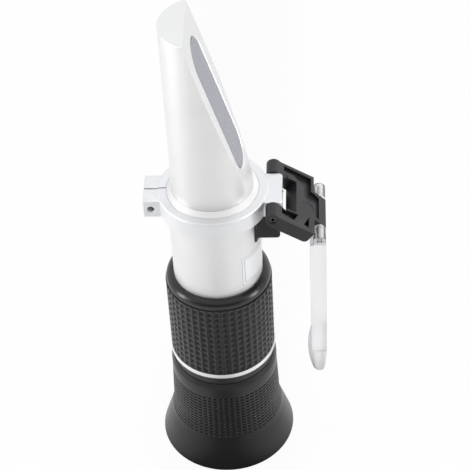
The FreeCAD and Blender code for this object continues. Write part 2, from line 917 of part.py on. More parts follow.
def plate_pad(back):
    """Low dome for the thumb on the outer face of the tip, kept inside the plate's outline."""
    sphere = (plate_pad_radius ** 2 + plate_pad_height ** 2) / (2 * plate_pad_height)
    centre = Vector(back - plate_pad_height + sphere, 0, -plate_pad_drop)
    dome = Part.makeSphere(sphere, centre)
    dome = dome.common(plate_outline(back - 2 * plate_pad_height))
    return dome.common(block(-far, back + plate_thickness / 2, -far, far, -far * 2, far))


def plate_grooves():
    """Fine groove across each long edge where the tip begins."""
    half = plate_groove / 2
    inner = plate_half_width - plate_groove
    grooves = block(-far, far, -far, far, -plate_crease - half, -plate_crease + half)
    return grooves.cut(block(-far * 2, far * 2, -inner, inner, -far * 2, far))


def tongue_space():
    """Slot between the ears, wide of the tongue and deep enough for it to swing past."""
    half = tongue_half_width + swing_gap * 3
    corners = [
        arm_point(tongue_length, arm_top_height - tongue_tip_drop - 0.3),
        arm_point(tongue_length - 1.8, -arm_foot_depth),
    ]
    reach = max(math.dist(corner, (plate_pin_x, plate_pin_z)) for corner in corners)
    depth = max(plate_slot_depth, reach + tongue_swing_clearance)
    return block(-far, far, -half, half, -depth, far)


def daylight_plate():
    """Clear plate that presses the sample on the prism, with a thin end for a finger."""
    back = plate_contact_offset - plate_thickness
    body = plate_outline(back).cut(tip_cuts()).fuse(plate_pad(back)).cut(plate_grooves())
    body = body.cut(tongue_space()).fuse(plate_ears())
    body = body.cut(rod_y(plate_pin_radius + face_gap, 0, 0, -far, far))
    body = solid_of(body)
    body.translate(Vector(plate_pin_x, 0, plate_pin_z))
    return body


def closing_turns():
    """How far the bracket and the plate turn until the plate lies on the prism face."""
    slope = math.radians(slope_angle)
    out = (math.cos(slope), math.sin(slope))
    hinge_height = (hinge_x - housing_radius) * out[0] + (hinge_z - tube_top) * out[1]
    reach = math.dist((hinge_x, hinge_z), (plate_pin_x, plate_pin_z))
    lean = math.asin((hinge_height - plate_contact_offset - closed_gap) / reach)
    rest = math.atan2(plate_pin_z - hinge_z, plate_pin_x - hinge_x)
    bracket = math.degrees(math.pi / 2 + slope + lean - rest)
    plate = 180 + slope_angle - bracket
    return bracket, plate


# Calibration screw, cap and lens stage


def calibration_screw():
    """Slotted grub screw through the tube wall, its tip on the lens stage."""
    foot = stage_radius + face_gap
    screw = rod_x(calibration_screw_radius, calibration_z, foot, foot + calibration_screw_length)
    head = foot + calibration_screw_length
    half = calibration_slot_width / 2
    slot = block(head - calibration_slot_depth, head + 1, -far, far, calibration_z - half, calibration_z + half)
    return screw.cut(slot)


def calibration_cap():
    """Rubber cap over the screw: a thin flange curved on the tube with a hollow box on it."""
    skin = tube_radius + seat_gap
    box_foot = clamp_foot - cap_height
    box = block(0, cap_reach, -cap_half_width, cap_half_width, box_foot, clamp_foot - face_gap)
    box = rounded(
        box, cap_corner,
        lambda edge: edge.BoundBox.XMin > cap_reach - 1e-6 and edge.BoundBox.ZMax < box_foot + 1e-6,
    )
    box = rounded(box, cap_edge, lambda edge: edge.BoundBox.XMin > cap_reach - 1e-6)
    flange = rod(skin + cap_flange, box_foot - cap_flange_drop, clamp_foot - face_gap)
    side = cap_half_width + cap_flange_margin
    trim = block(0, far, -side, side, 0, far * 2)
    body = box.fuse(flange.common(trim))
    body = body.cut(rod(skin, 0, far * 3))
    room = calibration_screw_radius + 0.6
    return solid_of(body.cut(rod_x(room, calibration_z, 0, cap_reach - cap_wall)))


def objective_stage():
    """Carrier of the objective lens with two flats that keep it from turning."""
    body = rod(stage_radius, stage_foot, stage_top)
    body = body.common(block(-far, far, -stage_flat, stage_flat, 0, far * 3))
    body = body.cut(rod(stage_lens_radius + seat_gap, stage_lens_foot, far * 3))
    return body.cut(rod(stage_ring_bore, 0, far * 3))


def objective_lens():
    return lens(stage_lens_radius, stage_lens_foot, stage_lens_thickness, True)


def objective_ring():
    return ring(stage_lens_radius, stage_ring_bore, stage_ring_foot, stage_top)


def stage_guide():
    """Ring below the stage with a rail along each of its flats."""
    outer = housing_bore_radius - seat_gap
    floor = ring(outer, stage_ring_aperture, stage_guide_foot, stage_guide_foot + stage_ring_thickness)
    rails = rod(outer, stage_guide_foot, stage_top)
    wide = stage_flat + slide_gap
    rails = rails.cut(block(-far, far, -wide, wide, 0, far * 3))
    rails = rails.common(block(-stage_rail_half, stage_rail_half, -far, far, 0, far * 3))
    return solid_of(floor.fuse(rails))


def stage_cover_ring():
    outer = housing_bore_radius - seat_gap
    top = stage_cover_foot + stage_ring_thickness
    return ring(outer, stage_ring_aperture, stage_cover_foot, top)


def stage_spring():
    """Leaf spring against the wall of the bore, opposite the calibration screw."""
    outer = housing_bore_radius - seat_gap
    foot = calibration_z - leaf_height / 2
    leaf = ring(outer, outer - leaf_thickness, foot, foot + leaf_height)
    reach = outer + 1
    spread = reach * math.tan(math.radians(leaf_half_angle))
    return leaf.common(plan_slab([(0, 0), (-reach, spread), (-reach, -spread)], 0, far * 3))


def bimetal_strip():
    """Bent strip under the stage guide, which corrects the reading for temperature."""
    half = strip_width / 2
    foot_low = stage_guide_foot - strip_thickness
    foot = block(strip_outer, strip_outer + strip_foot, -half, half, foot_low, stage_guide_foot)
    leg = block(strip_outer, strip_outer + strip_thickness, -half, half, strip_end, stage_guide_foot)
    body = foot.fuse(leg)
    for y in (-strip_width / 4, strip_width / 4):
        body = body.cut(rod(strip_rivet_radius + seat_gap, foot_low, stage_guide_foot, strip_rivet_x, y))
    return solid_of(body)


def strip_rivets():
    """Two rivets through the foot of the strip, each with a flat head below it."""
    head_top = stage_guide_foot - strip_thickness
    rivets = []
    for y in (-strip_width / 4, strip_width / 4):
        head = rod(strip_rivet_head, head_top - strip_rivet_head_height, head_top, strip_rivet_x, y)
        shank = rod(strip_rivet_radius, head_top, stage_guide_foot, strip_rivet_x, y)
        rivets.append(solid_of(head.fuse(shank)))
    return Part.makeCompound(rivets)


# Reticle and baffle


def reticle_holder():
    """Ring in the body tube with a seat for the reticle."""
    outer = tube_bore - seat_gap
    foot = reticle_height - reticle_seat
    top = reticle_height + reticle_thickness + reticle_ring_thickness
    recess = reticle_radius + seat_gap
    return turned([
        (reticle_aperture, foot), (outer, foot), (outer, top), (recess, top),
        (recess, reticle_height), (reticle_aperture, reticle_height),
    ])


def reticle():
    return rod(reticle_radius, reticle_height, reticle_height + reticle_thickness)


def reticle_ring():
    foot = reticle_height + reticle_thickness + seat_gap
    return ring(reticle_radius, reticle_aperture, foot, foot + reticle_ring_thickness - seat_gap)


def light_baffle():
    outer = tube_bore - seat_gap
    return ring(outer, baffle_aperture, baffle_height, baffle_height + baffle_thickness)


nodes = {
    "rubber_eyecup": rubber_eyecup,
    "focus_sleeve": focus_sleeve,
    "snap_ring": snap_ring,
    "eyepiece_barrel": eyepiece_barrel,
    "guide_pin": guide_pin,
    "eye_lens": eye_lens,
    "field_lens": field_lens,
    "lens_spacer": lens_spacer,
    "eye_lens_ring": eye_lens_ring,
    "eyepiece_socket": eyepiece_socket,
    "focus_seal": focus_seal,
    "trim_ring": trim_ring,
    "rubber_grip": rubber_grip,
    "body_tube": body_tube,
    "reticle_holder": reticle_holder,
    "reticle": reticle,
    "reticle_ring": reticle_ring,
    "light_baffle": light_baffle,
    "prism_housing": prism_housing,
    "measuring_prism": measuring_prism,
    "prism_cement": prism_cement,
    "prism_backing": prism_backing,
    "clamp_ring": clamp_ring,
    "clamp_screw": clamp_screw,
    "detent_ball": detent_ball,
    "cover_bracket": cover_bracket,
    "hinge_pin": hinge_pin,
    "plate_pin": plate_pin,
    "daylight_plate": daylight_plate,
    "calibration_screw": calibration_screw,
    "calibration_cap": calibration_cap,
    "objective_stage": objective_stage,
    "objective_lens": objective_lens,
    "objective_ring": objective_ring,
    "stage_guide": stage_guide,
    "stage_cover_ring": stage_cover_ring,
    "stage_spring": stage_spring,
    "bimetal_strip": bimetal_strip,
    "strip_rivets": strip_rivets,
}

os.makedirs("parts", exist_ok=True)
for name, make in nodes.items():
    shape = make()
    shape.exportStep("parts/" + name + ".step")
    print(name, "solids", len(shape.Solids), "valid", shape.isValid(), "volume", round(shape.Volume, 2))

print("hinge", hinge_x, hinge_z, "plate pin", plate_pin_x, plate_pin_z, "closing turns", closing_turns())
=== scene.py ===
"""Looks of a handheld refractometer that stands on its eyecup with its cover swung open.

Lengths here are in millimetres, in the frame of the CAD nodes: +Z up the optical axis, +X towards
the hinge. A mesh gets them in metres. Angles run round Z from +X.
"""

import json
import math

import bmesh
import bpy
import numpy as np
from mathutils import Matrix, Vector


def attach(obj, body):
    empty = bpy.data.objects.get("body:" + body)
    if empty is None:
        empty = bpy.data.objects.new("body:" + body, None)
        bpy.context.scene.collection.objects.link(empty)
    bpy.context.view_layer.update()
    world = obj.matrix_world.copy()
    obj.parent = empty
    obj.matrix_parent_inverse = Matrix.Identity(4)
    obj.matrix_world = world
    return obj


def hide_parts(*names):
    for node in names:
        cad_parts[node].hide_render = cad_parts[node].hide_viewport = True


MM = 0.001

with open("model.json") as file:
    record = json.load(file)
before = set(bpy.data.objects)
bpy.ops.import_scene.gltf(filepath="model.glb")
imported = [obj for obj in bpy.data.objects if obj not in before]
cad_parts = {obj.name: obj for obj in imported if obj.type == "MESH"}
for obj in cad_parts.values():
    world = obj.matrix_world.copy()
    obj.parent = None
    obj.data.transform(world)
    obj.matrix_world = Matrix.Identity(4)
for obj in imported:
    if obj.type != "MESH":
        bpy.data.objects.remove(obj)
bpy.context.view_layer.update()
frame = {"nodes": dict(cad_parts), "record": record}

# Sizes shared with the solids

tube_radius = 12.65
rim_radius = 20.0
eyecup_top = 33.4
grip_foot = 37.8
grip_top = 67.1
grip_radius = 15.2
plate_back = 26.25
plate_crease = 43.2

# Label on the tube

label_foot = 69.0
label_top = 80.4
label_half_angle = 56
label_line = 0.22

# Edges: angles in degrees, and how far the plate's edges are rounded

sharp_angle = 32
smooth_angle = 40
eased_angle = 35
plate_edge = 0.153
tip_radius = 0.9
facing = 0.7  # a face of the plate whose normal has more than this along X looks forwards or back

# Textures in the rubber

knurl_columns = 45
knurl_rows = 12
knurl_foot = 38.2
knurl_top = 64.0
knurl_turn = 1.5
knurl_groove = 0.13
knurl_depth = 0.28
dimple_columns = 62
dimple_rows = 14
dimple_foot = 11.0
dimple_top = 27.9
dimple_turn = 2.9
dimple_depth = 0.4


# Surfaces


def mesh_object(name, points, quads):
    """Mesh from an array of points in millimetres and an array of quads, facing outwards."""
    points = points.reshape(-1, 3)
    first, second, third, fourth = (points[quads[:, corner]] for corner in range(4))
    volume = np.einsum("ij,ij->i", first, np.cross(second - first, third - first)).sum()
    volume += np.einsum("ij,ij->i", first, np.cross(third - first, fourth - first)).sum()
    if volume < 0:
        quads = quads[:, ::-1]
    mesh = bpy.data.meshes.new(name)
    mesh.vertices.add(len(points))
    mesh.vertices.foreach_set("co", (points * MM).astype(np.float32).ravel())
    mesh.loops.add(quads.size)
    mesh.loops.foreach_set("vertex_index", quads.astype(np.int32).ravel())
    mesh.polygons.add(len(quads))
    mesh.polygons.foreach_set("loop_start", np.arange(0, quads.size, 4, dtype=np.int32))
    mesh.update(calc_edges=True)
    mesh.validate()
    mesh.shade_smooth()
    mesh.set_sharp_from_angle(angle=math.radians(smooth_angle))
    piece = bpy.data.objects.new(name, mesh)
    bpy.context.scene.collection.objects.link(piece)
    return piece


def closed_grid(steps, turns):
    """Quads of a grid that closes on itself both ways."""
    index = np.arange(steps * turns).reshape(steps, turns)
    right = np.roll(index, -1, axis=1)
    down = np.roll(index, -1, axis=0)
    across = np.roll(right, -1, axis=0)
    return np.stack([index, right, across, down], axis=-1).reshape(-1, 4)


def lathe(name, profile, turns, sink):
    """Ring turned about Z from a closed profile of radius and height.

    A point at angle a is (r cos a, r sin a, z). A third column of the profile is 1 for the points on
    the outside and 0 for the rest. sink gives how far the outside lies below the plain profile, as a
    function of the angle and the height.
    """
    radius, height, outside = (np.array(column, float)[:, None] for column in zip(*profile))
    angle = 2 * np.pi * np.arange(turns)[None, :] / turns
    radius = radius - sink(angle, height) * outside
    points = np.stack([radius * np.cos(angle), radius * np.sin(angle), height + 0 * angle], axis=-1)
    return mesh_object(name, points, closed_grid(len(profile), turns))


def arc_steps(start, middle, end, count):
    """Points on the circle through three points, from start to end."""
    (ax, ay), (bx, by), (cx, cy) = start, middle, end
    twice = 2 * (ax * (by - cy) + bx * (cy - ay) + cx * (ay - by))
    a2, b2, c2 = ax * ax + ay * ay, bx * bx + by * by, cx * cx + cy * cy
    ox = (a2 * (by - cy) + b2 * (cy - ay) + c2 * (ay - by)) / twice
    oy = (a2 * (cx - bx) + b2 * (ax - cx) + c2 * (bx - ax)) / twice
    reach = math.hypot(ax - ox, ay - oy)
    first = math.atan2(ay - oy, ax - ox)
    last = math.atan2(cy - oy, cx - ox)
    turn = (last - first + math.pi) % (2 * math.pi) - math.pi
    angle = first + turn * np.linspace(0, 1, count)
    return list(zip(ox + reach * np.cos(angle), oy + reach * np.sin(angle)))


def line_steps(start, end, count):
    """Points on the straight line from start to end."""
    return [tuple(point) for point in np.linspace(start, end, count)]


def soft_step(value, low, high):
    """0 below low and 1 above high, with an even slope at both ends."""
    share = np.clip((value - low) / (high - low), 0, 1)
    return share * share * (3 - 2 * share)


def column_pattern(angle, columns, turn, width, edge):
    """1 along the middle of each column and 0 on the ribs between them; turn is in degrees."""
    across = np.abs(((angle - math.radians(turn)) * columns / (2 * np.pi)) % 1 - 0.5) * 2
    return 1 - soft_step(across, width - edge, width + edge)


def row_pattern(height, rows, foot, top, width, edge):
    """1 along the middle of each row and 0 on the bars between them and outside the field."""
    share = (height - foot) / (top - foot) * rows
    upward = np.abs(share % 1 - 0.5) * 2
    return (1 - soft_step(upward, width - edge, width + edge)) * ((share > 0) & (share < rows))


def knurl_sink(angle, height):
    """Columns times the sum of a shallow groove, which fades at both ends, and the deeper pits."""
    fade = 0.4
    columns = column_pattern(angle, knurl_columns, knurl_turn, 0.6, 0.22)
    rows = row_pattern(height, knurl_rows, knurl_foot, knurl_top, 0.48, 0.22)
    above_foot = soft_step(height, knurl_foot, knurl_foot + fade)
    above_top = soft_step(height, knurl_top - fade, knurl_top)
    groove = above_foot * (1 - above_top)
    return columns * (knurl_groove * groove + knurl_depth * rows)


def dimple_sink(angle, height):
    """Columns times rows, so that a dimple lies wherever the two cross."""
    columns = column_pattern(angle, dimple_columns, dimple_turn, 0.76, 0.14)
    rows = row_pattern(height, dimple_rows, dimple_foot, dimple_top, 0.38, 0.18)
    return dimple_depth * columns * rows


def knurled_grip():
    """Rubber sleeve with square pits in columns and rows, and a smooth bead at its top."""
    bore = tube_radius + 0.02
    outer = line_steps((grip_radius, knurl_foot), (grip_radius, knurl_top), knurl_rows * 8 + 1)
    groove = [(grip_radius - 0.12, 64.1), (14.62, 64.22), (14.75, 64.42)]
    bead = arc_steps((14.9, 64.6), (14.55, 66.2), (12.95, grip_top), 14)
    inner = [(bore, grip_top), (bore, grip_foot)]
    profile = [(r, z, 1) for r, z in [(grip_radius, grip_foot)] + outer]
    profile += [(r, z, 0) for r, z in groove + bead + inner]
    return lathe("knurled_grip", profile, knurl_columns * 10, knurl_sink)


def dimpled_eyecup():
    """Flared rubber eyecup with short dimples round its waist and a hollow bowl for the eye."""
    skirt_top = (17.5, 8.0)
    skirt = line_steps((rim_radius, 0.0), skirt_top, 9)
    flare = arc_steps(skirt_top, (16.4, 12.4), (16.0, 17.8), 38)
    band = [(15.66, 26.6), (15.6, 28.4), (15.6, 31.7)]
    band += [(15.55, 31.9), (14.98, 33.36), (14.9, eyecup_top)]
    radii, heights = zip(*(skirt + flare[1:] + band))
    field = np.linspace(dimple_foot, dimple_top, dimple_rows * 8 + 1)
    plain = [z for z in heights if not dimple_foot < z < dimple_top]
    outline = np.unique(np.concatenate([field, plain]))
    outer = [(r, z, 1) for r, z in zip(np.interp(outline, heights, radii), outline)]
    bore_radius = 14.22
    eye_hole = 10.8
    seat = 13.5
    bowl_floor = 12.0
    bore = [(bore_radius, eyecup_top), (bore_radius, seat), (eye_hole, seat), (eye_hole, bowl_floor)]
    bowl = arc_steps((14.5, bowl_floor), (16.45, 6.0), (19.1, 0.0), 12)
    inner = [(r, z, 0) for r, z in bore + bowl]
    return lathe("dimpled_eyecup", outer + inner, dimple_columns * 8, dimple_sink)


def tube_sheet(name, radius, thickness, angle_from, angle_to, low, high, steps):
    """Thin sheet bent on the tube: a closed slab between two radii, two angles and two heights."""
    angle = np.radians(np.linspace(angle_from, angle_to, steps))[None, :]
    rim = [(radius, low), (radius + thickness, low), (radius + thickness, high), (radius, high)]
    r = np.array([corner[0] for corner in rim])[:, None]
    z = np.array([corner[1] for corner in rim])[:, None] + 0 * angle
    points = np.stack([r * np.cos(angle), r * np.sin(angle), z], axis=-1)
    index = np.arange(4 * steps).reshape(4, steps)
    below = np.roll(index, -1, axis=0)
    corners = [index[:, :-1], index[:, 1:], below[:, 1:], below[:, :-1]]
    sides = np.stack(corners, axis=-1).reshape(-1, 4)
    ends = np.array([index[:, 0], index[::-1, -1]])
    return mesh_object(name, points, np.concatenate([sides, ends]))


def joined(name, pieces):
    """One mesh object from several."""
    shape = bmesh.new()
    for piece in pieces:
        shape.from_mesh(piece.data)
        bpy.data.objects.remove(piece)
    mesh = bpy.data.meshes.new(name)
    shape.to_mesh(mesh)
    shape.free()
    mesh.shade_smooth()
    mesh.set_sharp_from_angle(angle=math.radians(smooth_angle))
    whole = bpy.data.objects.new(name, mesh)
    bpy.context.scene.collection.objects.link(whole)
    return whole


def label_sheet():
    """Bare paper-thin label on the tube under the cap."""
    half = label_half_angle
    return tube_sheet("label_sheet", tube_radius - 0.01, 0.04, -half, half, label_foot, label_top, 40)


def label_border():
    """Two thin lines printed just inside the edge of the label."""
    lines = []
    wide = math.degrees(label_line / tube_radius)
    for inset in (0.35, 1.25):
        right = label_half_angle - math.degrees(inset / tube_radius)
        left = -right
        low, high = label_foot + inset, label_top - inset
        spans = [
            (left, right, high - label_line, high, 40), (left, right, low, low + label_line, 40),
            (left, left + wide, low, high, 3), (right - wide, right, low, high, 3),
        ]
        lines += [tube_sheet("line", tube_radius + 0.02, 0.02, *span) for span in spans]
    return joined("label_border", lines)


def eased_copy(node, width):
    """Copy of a CAD node with its triangles joined, its curves smooth and its edges rounded."""
    mesh = frame["nodes"][node].data.copy()
    shape = bmesh.new()
    shape.from_mesh(mesh)
    bmesh.ops.remove_doubles(shape, verts=shape.verts, dist=2e-6)
    flat = math.radians(0.6)
    bmesh.ops.dissolve_limit(shape, angle_limit=flat, verts=shape.verts, edges=shape.edges)
    shape.to_mesh(mesh)
    shape.free()
    mesh.shade_smooth()
    mesh.set_sharp_from_angle(angle=math.radians(eased_angle))
    piece = bpy.data.objects.new(node + "_eased", mesh)
    bpy.context.scene.collection.objects.link(piece)
    if width:
        bevel = piece.modifiers.new("edge", "BEVEL")
        bevel.width = width * MM
        bevel.segments = 2
        bevel.limit_method = "ANGLE"
        bevel.angle_limit = math.radians(sharp_angle)
        bevel.use_clamp_overlap = False
        bevel.harden_normals = True
    return piece


# Finishes


class Number:
    """A shader socket in ordinary arithmetic: each operator adds one Math node."""

    def __init__(self, finish, socket):
        self.finish = finish
        self.socket = socket

    def with_math(self, operation, *sides):
        node = self.finish.add("ShaderNodeMath", {"operation": operation}, dict(enumerate(sides)))
        return Number(self.finish, node.outputs[0])

    def __add__(self, other):
        return self.with_math("ADD", self, other)

    __radd__ = __add__

    def __sub__(self, other):
        return self.with_math("SUBTRACT", self, other)

    def __rsub__(self, other):
        return self.with_math("SUBTRACT", other, self)

    def __mul__(self, other):
        return self.with_math("MULTIPLY", self, other)

    __rmul__ = __mul__

    def __or__(self, other):
        return self.with_math("MAXIMUM", self, other)

    def __abs__(self):
        return self.with_math("ABSOLUTE", self)


class Finish:
    """A material under construction, with its nodes and its main shader."""

    def __init__(self, name, **constants):
        self.material = bpy.data.materials.new(name)
        self.material.use_nodes = True
        self.tree = self.material.node_tree
        self.shader = self.tree.nodes["Principled BSDF"]
        for socket, value in constants.items():
            self.shader.inputs[socket.replace("_", " ")].default_value = value

    @classmethod
    def of_tree(cls, tree):
        """The same helpers for a node tree that isn't a material's."""
        finish = cls.__new__(cls)
        finish.tree = tree
        return finish

    def add(self, kind, settings=None, sockets=None):
        """A node of one kind, its settings first and then the values or links of its sockets."""
        node = self.tree.nodes.new(kind)
        for key, value in (settings or {}).items():
            setattr(node, key, value)
        for key, value in (sockets or {}).items():
            self.feed(node.inputs[key], value)
        return node

    def feed(self, socket, value):
        source = value.socket if isinstance(value, Number) else value
        if isinstance(source, bpy.types.NodeSocket):
            self.tree.links.new(source, socket)
        else:
            socket.default_value = source

    def number(self, kind, output, settings=None, sockets=None):
        return Number(self, self.add(kind, settings, sockets).outputs[output])

    def place(self):
        return self.add("ShaderNodeTexCoord").outputs["Object"]

    def soft_range(self, value, low, high):
        """0 at low and 1 at high, with an even slope at both ends."""
        sockets = {"Value": value, "From Min": low, "From Max": high}
        return self.number("ShaderNodeMapRange", 0, {"interpolation_type": "SMOOTHSTEP"}, sockets)

    def noise(self, size, detail=2.0, stretch=(1, 1, 1)):
        """Noise from 0 to 1 whose grains are about size millimetres across."""
        spot = self.add("ShaderNodeMapping", None, {"Vector": self.place(), "Scale": stretch})
        sockets = {"Vector": spot.outputs[0], "Scale": 1 / (size * MM), "Detail": detail}
        return self.number("ShaderNodeTexNoise", "Fac", None, sockets)

    def colour(self, factor, low, high):
        """Colour between low and high by a factor."""
        sockets = {0: factor, 6: (*low, 1), 7: (*high, 1)}
        node = self.add("ShaderNodeMix", {"data_type": "RGBA"}, sockets)
        self.feed(self.shader.inputs["Base Color"], node.outputs[2])

    def roughness(self, value):
        self.feed(self.shader.inputs["Roughness"], value)

    def grain(self, height, depth):
        """Bump of a height field, depth in millimetres."""
        bump = self.add("ShaderNodeBump", None, {"Height": height, "Distance": depth * MM})
        self.feed(self.shader.inputs["Normal"], bump.outputs[0])


def satin_aluminium():
    """Fine blasted and anodised aluminium."""
    finish = Finish("satin aluminium", Metallic=0.8)
    fine = finish.noise(0.16, 3.0)
    cloud = finish.noise(9.0, 2.0)
    finish.colour(cloud, (0.79, 0.79, 0.785), (0.84, 0.84, 0.835))
    finish.roughness(0.40 + fine * 0.12)
    finish.grain(fine, 0.012)
    return finish.material


def cut_aluminium():
    """Blasted aluminium of the clamp ring, with a coarser grain."""
    finish = Finish("blasted aluminium", Metallic=0.7)
    fine = finish.noise(0.22, 3.0)
    finish.colour(fine, (0.76, 0.765, 0.775), (0.87, 0.875, 0.885))
    finish.roughness(0.42 + fine * 0.14)
    finish.grain(fine, 0.03)
    return finish.material


def black_rubber():
    """Matt moulded rubber with a faint bloom."""
    finish = Finish(
        "black rubber", IOR=1.5, Specular_IOR_Level=0.36, Sheen_Weight=0.4, Sheen_Roughness=0.35,
        Sheen_Tint=(0.94, 0.93, 1.0, 1),
    )
    fine = finish.noise(0.18, 2.0)
    cloud = finish.noise(5.0, 3.0)
    finish.colour(cloud, (0.003, 0.003, 0.0035), (0.006, 0.006, 0.007))
    finish.roughness(0.34 + cloud * 0.06)
    finish.grain(fine, 0.012)
    return finish.material


def smooth_rubber():
    """The same rubber where the mould was polished."""
    finish = Finish("smooth rubber", IOR=1.5, Specular_IOR_Level=0.45, Sheen_Weight=0.2)
    cloud = finish.noise(5.0, 3.0)
    finish.colour(cloud, (0.003, 0.003, 0.0035), (0.006, 0.006, 0.007))
    finish.roughness(0.2 + cloud * 0.06)
    return finish.material


def black_plastic():
    """Moulded black plastic with a fine spark texture."""
    finish = Finish("black plastic", IOR=1.5, Specular_IOR_Level=0.5)
    fine = finish.noise(0.14, 2.0)
    cloud = finish.noise(3.0, 2.0)
    finish.colour(cloud, (0.008, 0.008, 0.0092), (0.013, 0.013, 0.0148))
    finish.roughness(0.38 + fine * 0.16)
    finish.grain(fine, 0.012)
    return finish.material


def blackened_metal():
    """Matt black anodised inside pieces."""
    finish = Finish("blackened metal", Metallic=0.6)
    fine = finish.noise(0.2, 2.0)
    finish.colour(fine, (0.012, 0.012, 0.013), (0.024, 0.024, 0.026))
    finish.roughness(0.52 + fine * 0.12)
    return finish.material


def bright_steel():
    """Bright machined steel."""
    finish = Finish("bright steel", Metallic=1.0)
    fine = finish.noise(0.3, 2.0)
    finish.colour(fine, (0.55, 0.55, 0.55), (0.68, 0.68, 0.67))
    finish.roughness(0.22 + fine * 0.1)
    return finish.material


def dull_steel():
    """Steel pins, oiled dark."""
    finish = Finish("dull steel", Metallic=0.9)
    fine = finish.noise(0.3, 2.0)
    finish.colour(fine, (0.10, 0.10, 0.105), (0.17, 0.17, 0.175))
    finish.roughness(0.3 + fine * 0.1)
    return finish.material


def machined_brass():
    """Machined brass."""
    finish = Finish("machined brass", Metallic=1.0)
    fine = finish.noise(0.3, 2.0)
    finish.colour(fine, (0.62, 0.44, 0.18), (0.74, 0.55, 0.26))
    finish.roughness(0.25 + fine * 0.1)
    return finish.material


def clear_plastic():
    """Clear acrylic with the slightest unevenness."""
    finish = Finish("clear plastic", IOR=1.49, Transmission_Weight=1.0)
    wave = finish.noise(4.0, 1.0)
    finish.colour(wave, (0.97, 0.975, 0.985), (0.99, 0.99, 0.995))
    finish.roughness(0.03 + wave * 0.03)
    return finish.material


def frosted_plastic():
    """Milky edge that the mould leaves on clear acrylic, with fine lines along it."""
    finish = Finish("frosted plastic", IOR=1.49, Transmission_Weight=1.0)
    lines = finish.noise(0.5, 2.0, (1, 1, 0.02))
    finish.colour(lines, (0.96, 0.955, 0.985), (0.985, 0.98, 0.995))
    finish.roughness(0.30 + lines * 0.1)
    return finish.material


def optical_glass():
    """Polished and coated lenses."""
    finish = Finish("optical glass", IOR=1.52, Transmission_Weight=1.0)
    wave = finish.noise(6.0, 1.0)
    finish.colour(wave, (0.96, 0.975, 0.97), (0.98, 0.99, 0.985))
    finish.roughness(0.01 + wave * 0.01)
    return finish.material


def prism_glass():
    """Measuring face of the prism, bluish grey over the dark inside, with a fine frost."""
    finish = Finish("prism glass", IOR=1.7, Coat_Roughness=0.08)
    fine = finish.noise(0.25, 4.0)
    finish.colour(fine, (0.19, 0.195, 0.235), (0.27, 0.275, 0.32))
    finish.roughness(0.22 + fine * 0.12)
    return finish.material


def sealant():
    """Cured grey cement round the prism."""
    finish = Finish("sealant")
    fine = finish.noise(0.4, 2.0)
    finish.colour(fine, (0.50, 0.50, 0.50), (0.62, 0.62, 0.62))
    finish.roughness(0.5 + fine * 0.1)
    return finish.material


def label_film():
    """Silvery film of the label."""
    finish = Finish("label film", Metallic=0.7)
    fine = finish.noise(0.3, 2.0)
    finish.colour(fine, (0.86, 0.865, 0.88), (0.90, 0.905, 0.915))
    finish.roughness(0.42 + fine * 0.08)
    return finish.material


def label_ink():
    """Grey ink of the label's lines."""
    finish = Finish("label ink")
    fine = finish.noise(0.3, 2.0)
    finish.colour(fine, (0.42, 0.42, 0.44), (0.52, 0.52, 0.54))
    finish.roughness(0.5 + fine * 0.1)
    return finish.material


def wear(piece, material):
    """The piece wears this material alone."""
    piece.data.materials.clear()
    piece.data.materials.append(material)


finishes = {
    "satin_aluminium": satin_aluminium(),
    "blackened_metal": blackened_metal(),
    "black_rubber": black_rubber(),
    "black_plastic": black_plastic(),
    "clear_plastic": clear_plastic(),
    "optical_glass": optical_glass(),
    "prism_glass": prism_glass(),
    "sealant": sealant(),
    "steel": bright_steel(),
    "brass": machined_brass(),
}
oiled_steel = dull_steel()
own_finishes = {"clamp_ring": cut_aluminium(), "hinge_pin": oiled_steel, "clamp_screw": oiled_steel}
slots = {part["node"]: part["material_slot"] for part in frame["record"]["subparts"]}
bodies = {
    node: body
    for body, members in frame["record"]["behaviour"]["bodies"].items()
    for node in members
}

for node, piece in frame["nodes"].items():
    wear(piece, finishes[slots[node]])


def stand_in(piece, node, material=None):
    """The piece takes the place of a CAD node, rides on its body and wears its finish."""
    wear(piece, material or finishes[slots[node]])
    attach(piece, bodies[node])
    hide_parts(node)


def listed(items, name, kind=np.float32):
    """One property of a mesh's faces, edges, corners or points, as an array with a row for each."""
    width = 3 if kind is np.float32 else 2 if name == "vertices" else 1
    values = np.empty(len(items) * width, kind)
    items.foreach_get(name, values)
    return values.reshape(-1, width) if width > 1 else values


def second_finish(piece, material, chosen):
    """The chosen faces get another finish."""
    piece.data.materials.append(material)
    piece.data.polygons.foreach_set("material_index", chosen.astype(np.int32))


def frost_edges(plate):
    """The faces across the plate's thickness, its pad and its tip get the frosted finish."""
    centre = listed(plate.data.polygons, "center")
    normal = listed(plate.data.polygons, "normal")
    proud = centre[:, 0] < (plate_back - 0.02) * MM
    tip = centre[:, 2] < plate_crease * MM
    second_finish(plate, frosted_plastic(), proud | tip | (np.abs(normal[:, 0]) < facing))


